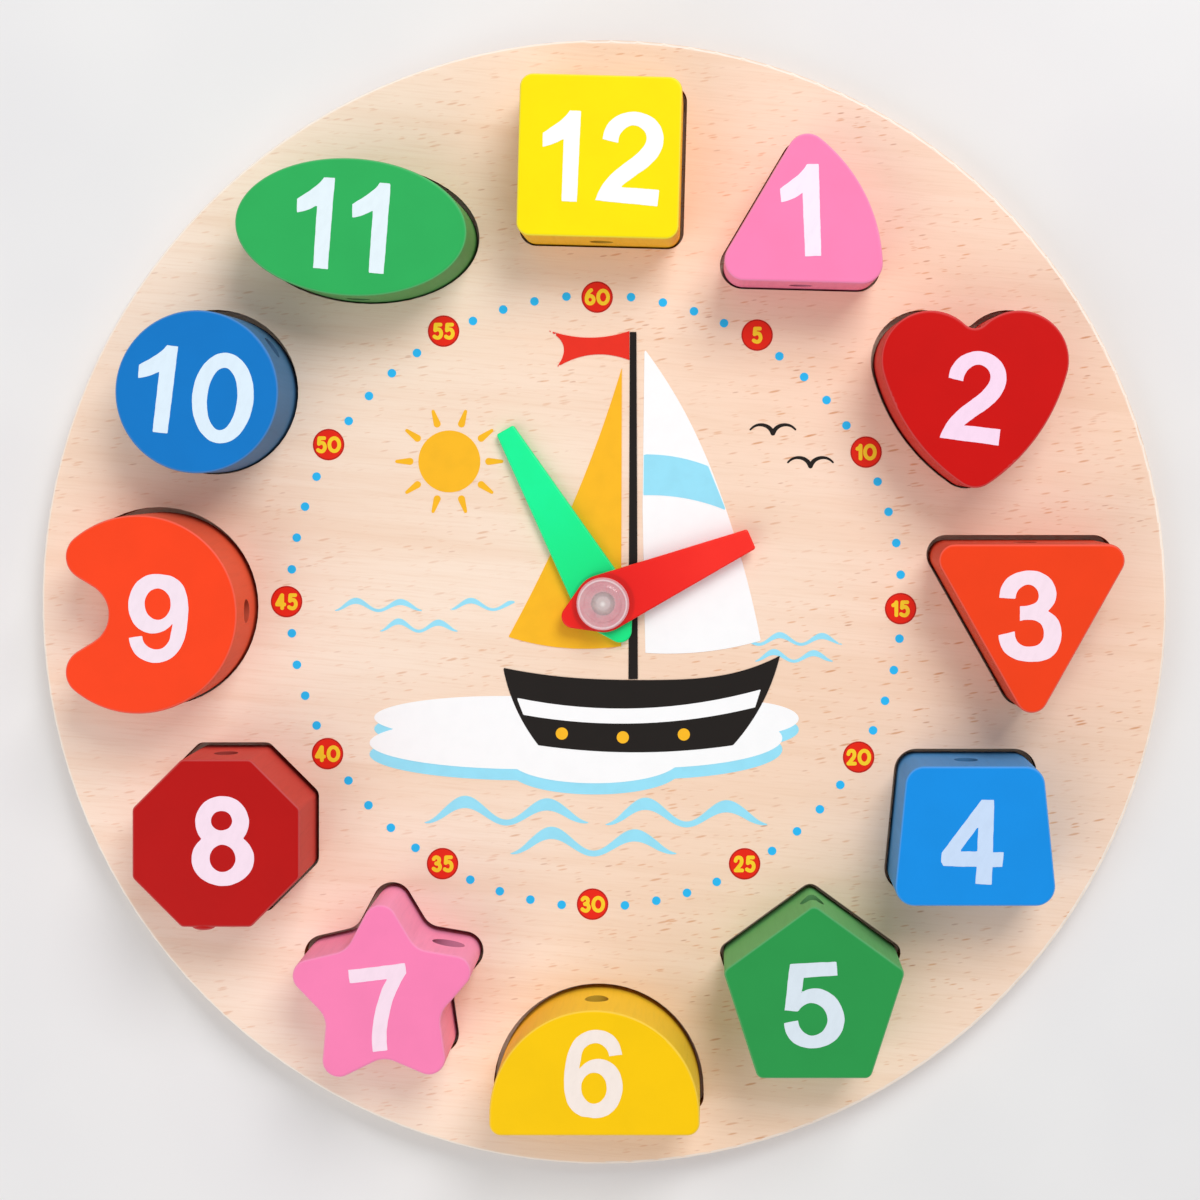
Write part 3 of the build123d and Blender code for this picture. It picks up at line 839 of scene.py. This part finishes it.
# The outline of each figure in a box one wide and one high: a pair is a corner, a list is a
# smooth line through its points. Rounds and holes are (middle, reach across, reach up). Gaps,
# which are outlines too, and holes stay bare.
FIGURES = {
    "0": {"rounds": [((0.5, 0.5), 0.5, 0.5)], "holes": [((0.49, 0.49), 0.245, 0.345)]},
    "1": {"loops": [(
        (1.0, 1.0), (1.0, 0.0), (0.59, 0.0), [(0.57, 0.69), (0.32, 0.63), (0.02, 0.59)],
        [(0.0, 0.74), (0.36, 0.85), (0.60, 0.94), (0.70, 1.0)],
    )]},
    "2": {"loops": [(
        [(0.02, 0.67), (0.12, 0.88), (0.45, 1.0), (0.83, 0.93), (0.98, 0.73), (0.84, 0.47),
         (0.58, 0.30), (0.38, 0.17)],
        (0.99, 0.18), (0.99, 0.0),
        [(0.0, 0.0), (0.15, 0.24), (0.45, 0.46), (0.66, 0.62), (0.71, 0.74), (0.62, 0.83),
         (0.46, 0.85), (0.32, 0.78), (0.27, 0.65)],
    )]},
    "3": {"loops": [(
        [(0.01, 0.70), (0.12, 0.90), (0.47, 1.0), (0.82, 0.91), (0.92, 0.73), (0.78, 0.555)],
        [(0.78, 0.555), (0.96, 0.44), (1.0, 0.29), (0.87, 0.07), (0.47, 0.0), (0.12, 0.09), (0.0, 0.29)],
        [(0.26, 0.335), (0.33, 0.20), (0.49, 0.165), (0.66, 0.20), (0.72, 0.30), (0.66, 0.42),
         (0.47, 0.46), (0.34, 0.445)],
        [(0.34, 0.61), (0.50, 0.62), (0.61, 0.66), (0.64, 0.735), (0.57, 0.82), (0.45, 0.845),
         (0.33, 0.80), (0.27, 0.69)],
    )]},
    "4": {
        "loops": [(
            (0.65, 1.0), (0.85, 1.0), (0.83, 0.38), (1.0, 0.38), (0.98, 0.21), (0.82, 0.21),
            (0.81, 0.0), (0.55, 0.01), (0.57, 0.21), (0.04, 0.22), (0.0, 0.27), (0.02, 0.38),
        )],
        "gaps": [((0.60, 0.69), (0.58, 0.39), (0.30, 0.39))],
    },
    "5": {"loops": [(
        (0.14, 1.0), (0.91, 1.0), (0.92, 0.84), (0.36, 0.83),
        [(0.31, 0.655), (0.54, 0.70), (0.83, 0.61), (0.98, 0.43), (1.0, 0.30), (0.86, 0.10),
         (0.47, 0.0), (0.12, 0.09), (0.0, 0.31)],
        [(0.235, 0.335), (0.31, 0.20), (0.45, 0.15), (0.64, 0.20), (0.72, 0.33), (0.63, 0.48),
         (0.45, 0.53), (0.33, 0.50), (0.24, 0.44)],
        (0.02, 0.46),
    )]},
    "6": {
        "loops": [(
            [(0.99, 0.72), (0.84, 0.93), (0.53, 1.0), (0.20, 0.90), (0.04, 0.66), (0.0, 0.42),
             (0.09, 0.13), (0.30, 0.02)],
            [(0.50, 0.0), (0.82, 0.07), (0.98, 0.25), (0.99, 0.42), (0.84, 0.61), (0.59, 0.67),
             (0.38, 0.63), (0.26, 0.56)],
            [(0.30, 0.72), (0.40, 0.82), (0.54, 0.85), (0.69, 0.81), (0.77, 0.70)],
        )],
        "holes": [((0.51, 0.34), 0.218, 0.176)],
    },
    "7": {"loops": [(
        (0.0, 1.0), (0.99, 1.0),
        [(1.0, 0.88), (0.82, 0.72), (0.68, 0.54), (0.59, 0.37), (0.53, 0.20), (0.51, 0.0)],
        [(0.25, 0.0), (0.28, 0.22), (0.34, 0.39), (0.43, 0.56), (0.53, 0.71), (0.66, 0.84)],
        (0.0, 0.84),
    )]},
    "8": {
        "rounds": [((0.49, 0.71), 0.43, 0.29), ((0.5, 0.30), 0.5, 0.30)],
        "holes": [((0.482, 0.725), 0.17, 0.108), ((0.497, 0.305), 0.206, 0.152)],
    },
}
# Each number: its block, the white that it dries to, and for each figure the middle, width and
# height in millimetres from the board's middle, and how far it leans anticlockwise in degrees.
# The nine is a six turned half round.
NUMBERS = {
    "12": ("square_block_12", (255, 255, 255), [
        ("1", (-8.13, 92.81), 7.63, 18.66, -2.7), ("2", (6.41, 92.34), 13.0, 18.8, -5.8),
    ]),
    "1": ("bowed_triangle_block_1", (253, 238, 252), [("1", (41.06, 81.54), 8.1, 18.9, 1.6)]),
    "2": ("heart_block_2", (252, 220, 242), [("2", (76.93, 43.36), 12.3, 18.6, -7.6)]),
    "3": ("triangle_block_3", (252, 228, 240), [("3", (88.16, -1.64), 12.9, 18.7, 0.0)]),
    "4": ("trapezoid_block_4", (204, 225, 252), [("4", (76.31, -48.0), 12.9, 17.4, 0.0)]),
    "5": ("pentagon_block_5", (222, 234, 243), [("5", (43.78, -81.48), 12.4, 17.5, 2.6)]),
    "6": ("arch_block_6", (252, 238, 228), [("6", (-1.36, -95.51), 12.0, 18.1, 0.0)]),
    "7": ("star_block_7", (254, 226, 241), [("7", (-44.72, -82.08), 11.8, 17.3, 6.9)]),
    "8": ("octagon_block_8", (253, 228, 242), [("8", (-77.34, -47.73), 12.8, 18.4, 0.0)]),
    "9": ("bitten_disc_block_9", (251, 232, 243), [("6", (-90.56, -2.09), 12.3, 18.2, 180.0)]),
    "10": ("disc_block_10", (226, 243, 255), [
        ("1", (-91.3, 45.17), 7.5, 18.0, -7.0), ("0", (-77.33, 43.07), 12.6, 18.6, -5.5),
    ]),
    "11": ("oval_block_11", (233, 247, 253), [
        ("1", (-58.77, 79.13), 7.4, 18.7, -4.5), ("1", (-47.37, 78.07), 7.5, 18.6, -4.5),
    ]),
}


def white_paint(name, tone):
    """
    Thick white paint: nearly one tone, a little thinner in streaks along the brush, with low
    ridges.
    """
    material, tree, shader = finish_of(name, Roughness=0.40, Specular_IOR_Level=0.45)
    brushed = noise(tree, (1.3, 3.4, 3.0), turn=20.0, detail=3.0, rough=0.6)
    streak = fade(tree, brushed, 0.35, 0.72)
    colour = blend(tree, times(tree, streak, 0.6), rgb(*tone), shade(rgb(*tone), 0.94))
    lead(tree, shader, Base_Color=colour)
    hills(tree, shader, noise(tree, (0.5, 2.0, 1.0), turn=20.0, detail=3.0), 0.20, 0.05 * MM)
    return material


def painted_figure(x, y, digit, middle, width, height, lean):
    """
    How far a point is outside one painted figure: the nearest of its outlines and rounds, and
    never inside its gaps and holes. The point is first turned into the figure's leaning box.
    """
    swing = math.radians(lean)
    right = x - middle[0]
    above = y - middle[1]
    across = right * math.cos(swing) + above * math.sin(swing) + width / 2
    up = above * math.cos(swing) - right * math.sin(swing) + height / 2
    box = np.array([width, height])
    shape = FIGURES[digit]

    def outlined(parts):
        """How far it is outside a closed outline of corners and smooth lines."""
        lines = [bend(part * box) if isinstance(part, list) else [part * box] for part in parts]
        return patch(across, up, np.vstack(lines))

    def rounded(spot, reach_x, reach_y):
        """How far it is outside an ellipse."""
        return oval(across, up, spot * box, reach_x * width, reach_y * height)

    drawn = [outlined(parts) for parts in shape.get("loops", [])]
    drawn += [rounded(*each) for each in shape.get("rounds", [])]
    bare = [-outlined(parts) for parts in shape.get("gaps", [])]
    bare += [-rounded(*each) for each in shape.get("holes", [])]
    return np.maximum.reduce([np.minimum.reduce(drawn)] + bare)


def waver(x, y, size, seed):
    """
    A slow wandering of an edge: four sine waves across the plane, each with its own direction
    and pace, and each weaker than the last.
    """
    turns = seed * 1.7 + np.array([0.3, 1.9, 3.1, 4.6])
    paces = np.array([1.1, 1.9, 3.1, 4.7]) / MM
    total = 0.0
    for order, (turn, pace) in enumerate(zip(turns, paces)):
        way = x * np.cos(turn) + y * np.sin(turn)
        total = total + np.sin(pace * way + seed + 2.0 * turn) / (1.0 + 0.4 * order)
    return size * total / 2.6


def brushwork(x, y, figures, seed):
    """How far a point is outside the nearest of a number's figures, with a wavering edge."""
    gaps = [painted_figure(x, y, *each) for each in figures]
    return np.minimum.reduce(gaps) + waver(x, y, WAVER, seed)


for order, (hour, (block, tone, rows)) in enumerate(NUMBERS.items()):
    figures = [
        (digit, np.array(middle) * MM, width * MM, height * MM, lean)
        for digit, middle, width, height, lean in rows
    ]
    middles = np.array([each[1] for each in figures])
    halves = np.array([each[2:4] for each in figures]) / 2
    low = (middles - halves).min(axis=0) - NUMBER_ROOM
    high = (middles + halves).max(axis=0) + NUMBER_ROOM
    brushed = partial(brushwork, figures=figures, seed=order + 1.0)
    white = white_paint("white_paint_" + hour, tone)
    film("number_" + hour, brushed, low, high, NUMBER_CELL, BLOCK_TOP, PAINT_COAT, white, block)

# ------------------------------------------------------------------ the hands
# Two blades moulded in coloured plastic, a little see-through, each with a raised boss.
# The green minute hand lies under the red hour hand.

# Where each hand stands, in degrees clockwise from twelve, and how far from the axis the painted
# shade round its boss begins and is full.
MINUTE_AT = 330.2
HOUR_AT = 66.5
BOSS_SHADE = (7.0 * MM, 6.3 * MM)


def moulded(name, light, deep, clockwise):
    """
    Moulded plastic: the colour deepens from the tip towards the thick boss, which is darker
    still with a painted shade round its raised step, with a soft gloss and fine scuffs.
    with a soft gloss and fine scuffs.
    """
    material, tree, shader = finish_of(
        name,
        Roughness=0.34,
        Specular_IOR_Level=0.40,
        Subsurface_Weight=0.08,
        Subsurface_Scale=0.002,
        Subsurface_Radius=(1.0, 0.6, 0.4),
    )
    turn = math.radians(clockwise)
    tip_way = (math.sin(turn), math.cos(turn), 0.0)
    run = put(
        tree, "ShaderNodeVectorMath", {0: place_on(tree), 1: tip_way}, operation="DOT_PRODUCT"
    )
    far = fade(tree, run.outputs["Value"], 6.0 * MM, 30.0 * MM)
    colour = blend(tree, far, rgb(*deep), rgb(*light))
    mottle = fade(tree, noise(tree, 5.0, detail=3.0), 0.35, 0.7)
    colour = blend(tree, times(tree, mottle, 0.18), colour, rgb(*deep))
    # Painted shade: the boss is darkened where its raised step would shade the blade.
    boss_shade = fade(tree, standing(tree)[2], *BOSS_SHADE)
    colour = blend(tree, times(tree, boss_shade, 0.26), colour, rgb(*[level // 2 for level in deep]))
    lead(tree, shader, Base_Color=colour)
    hills(tree, shader, noise(tree, 0.8, detail=4.0), 0.2, 0.03 * MM)
    return material


dress("minute_hand", moulded("green_plastic_hand", (0, 250, 156), (0, 238, 136), MINUTE_AT))
dress("hour_hand", moulded("red_plastic_hand", (255, 42, 28), (240, 20, 10), HOUR_AT))

# ------------------------------------------------------------------ the snap rivet
# A clear moulded rivet through hands and board, and its cap pressed into the hollow shaft from
# the back. The plastic is slightly milky.

# How far from the rivet's axis each change in its look begins and ends: the painted
# highlight at the middle fades in inwards, and so do the thick shaft and the dome. The painted
# highlight along the rim fades in outwards, then out again.
CENTRE_GLINT = (0.8 * MM, 0.1 * MM)
SHAFT = (3.4 * MM, 1.0 * MM)
DOME = (4.2 * MM, 3.6 * MM)
HIGHLIGHT_RING_START = (4.78 * MM, 4.96 * MM)
HIGHLIGHT_RING_END = (5.30 * MM, 5.05 * MM)


def clear_plastic(name):
    """
    Clear plastic with a little milk in it, thick and grey over the shaft, with painted
    highlights: whiter and denser along the head's rim, and a white spot in its middle. The head
    is a low dome whose edge falls away between 3.6 and 4.2 mm out, with soft swirls in it.
    between 3.6 and 4.2 mm out, with soft swirls in it.
    """
    material, tree, shader = finish_of(name, Roughness=0.12, IOR=1.46, Specular_IOR_Level=0.8)
    out = standing(tree)[2]
    swirl = fade(tree, noise(tree, 2.6, detail=3.0), 0.35, 0.70)
    cloud = fade(tree, noise(tree, 1.6, turn=20.0, detail=3.0, warp=0.6), 0.30, 0.70)
    uneven = sums(tree, "MULTIPLY_ADD", cloud, 0.6 * MM, out)
    shaft = fade(tree, uneven, *SHAFT)
    # Painted highlight: a small white spot at the middle of the head.
    centre_glint = fade(tree, out, *CENTRE_GLINT)
    # Painted highlight: a whiter, denser ring along the head's rim.
    rim_highlight = times(tree, fade(tree, out, *HIGHLIGHT_RING_START), fade(tree, out, *HIGHLIGHT_RING_END))
    colour = blend(tree, swirl, rgb(250, 226, 230), rgb(246, 204, 214))
    colour = blend(tree, times(tree, shaft, 0.85), colour, rgb(216, 203, 198))
    colour = blend(tree, times(tree, centre_glint, 0.8), colour, rgb(255, 250, 246))
    colour = blend(tree, rim_highlight, colour, rgb(255, 244, 246))
    milk = sums(tree, "MULTIPLY_ADD", shaft, 0.40, 0.34)
    milk = sums(tree, "MULTIPLY_ADD", rim_highlight, 0.18, milk)
    lead(tree, shader, Base_Color=colour, Alpha=milk)
    dome = fade(tree, out, *DOME)
    height = sums(tree, "ADD", dome, times(tree, cloud, 0.20))
    hills(tree, shader, sums(tree, "MULTIPLY_ADD", swirl, 0.5, height), 1.0, 0.2 * MM)
    return material


clear = clear_plastic("clear_plastic_rivet")
dress("hub_rivet", clear)
dress("rivet_cap", clear)

# ------------------------------------------------------------------ floor, light and camera
# The clock lies on its back on a plain pale sheet, under one large soft lamp, a weaker one
# from the other side, and a pale sky.
FLOOR_REACH = 3.0
FLOOR_DROP = -0.1 * MM
# Each lamp: its place and its width in metres, and its power in watts.
LAMPS = {
    "key_lamp": ((0.38, 0.72, 0.88), 0.55, 7.8),
    "fill_lamp": ((-0.65, -0.60, 0.75), 1.0, 4.4),
}
SKY_STRENGTH = 0.50
CAMERA_PLACE = (0.022, 0.032, 0.438)
CAMERA_LENS = 60.5
CAMERA_SHIFT = (-0.0894, -0.1233)


def paper(name):
    """Pale paper: nearly white, with a faint slow change of tone."""
    material, tree, shader = finish_of(name, Roughness=0.9, Specular_IOR_Level=0.1)
    cloud = fade(tree, noise(tree, 60.0), 0.3, 0.7)
    lead(tree, shader, Base_Color=blend(tree, cloud, rgb(238, 237, 236), rgb(234, 233, 233)))
    return material


def soft_lamp(name, place, reach, power):
    """A square soft lamp at a place, turned to face the middle of the dial."""
    light = bpy.data.lights.new(name, "AREA")
    light.shape = "SQUARE"
    light.size = reach
    light.energy = power
    lamp = bpy.data.objects.new(name, light)
    away = np.array(place) / np.linalg.norm(place)
    lamp.location = place
    lamp.rotation_euler = (math.acos(away[2]), 0.0, math.atan2(away[1], away[0]) + math.pi / 2)
    bpy.context.scene.collection.objects.link(lamp)


side = np.linspace(-FLOOR_REACH, FLOOR_REACH, 9)
floor_x, floor_y = np.meshgrid(side, side, indexing="ij")
floor_z = np.full(floor_x.size, FLOOR_DROP)
floor_points = np.stack([floor_x.ravel(), floor_y.ravel(), floor_z], axis=1)
count = np.arange(floor_x.size).reshape(floor_x.shape)
floor_cells = np.stack([count[:-1, :-1], count[1:, :-1], count[1:, 1:], count[:-1, 1:]], axis=-1)
floor_mesh = bpy.data.meshes.new("floor")
floor_mesh.from_pydata(floor_points.tolist(), [], floor_cells.reshape(-1, 4).tolist())
floor_mesh.materials.append(paper("floor_paper"))
floor = bpy.data.objects.new("floor", floor_mesh)
bpy.context.scene.collection.objects.link(floor)

for name, (place, reach, power) in LAMPS.items():
    soft_lamp(name, place, reach, power)

world = bpy.data.worlds.new("pale_room")
bpy.context.scene.world = world
world.use_nodes = True
sky = world.node_tree.nodes["Background"]
sky.inputs["Color"].default_value = rgb(244, 244, 246)
sky.inputs["Strength"].default_value = SKY_STRENGTH

camera = bpy.data.cameras.new("camera")
camera.sensor_width = 36.0
camera.lens = CAMERA_LENS
camera.shift_x, camera.shift_y = CAMERA_SHIFT
camera.clip_start = 0.01
camera.dof.use_dof = False
viewer = bpy.data.objects.new("camera", camera)
viewer.location = CAMERA_PLACE
bpy.context.scene.collection.objects.link(viewer)
bpy.context.scene.camera = viewer
bpy.context.scene.view_settings.view_transform = "Standard"
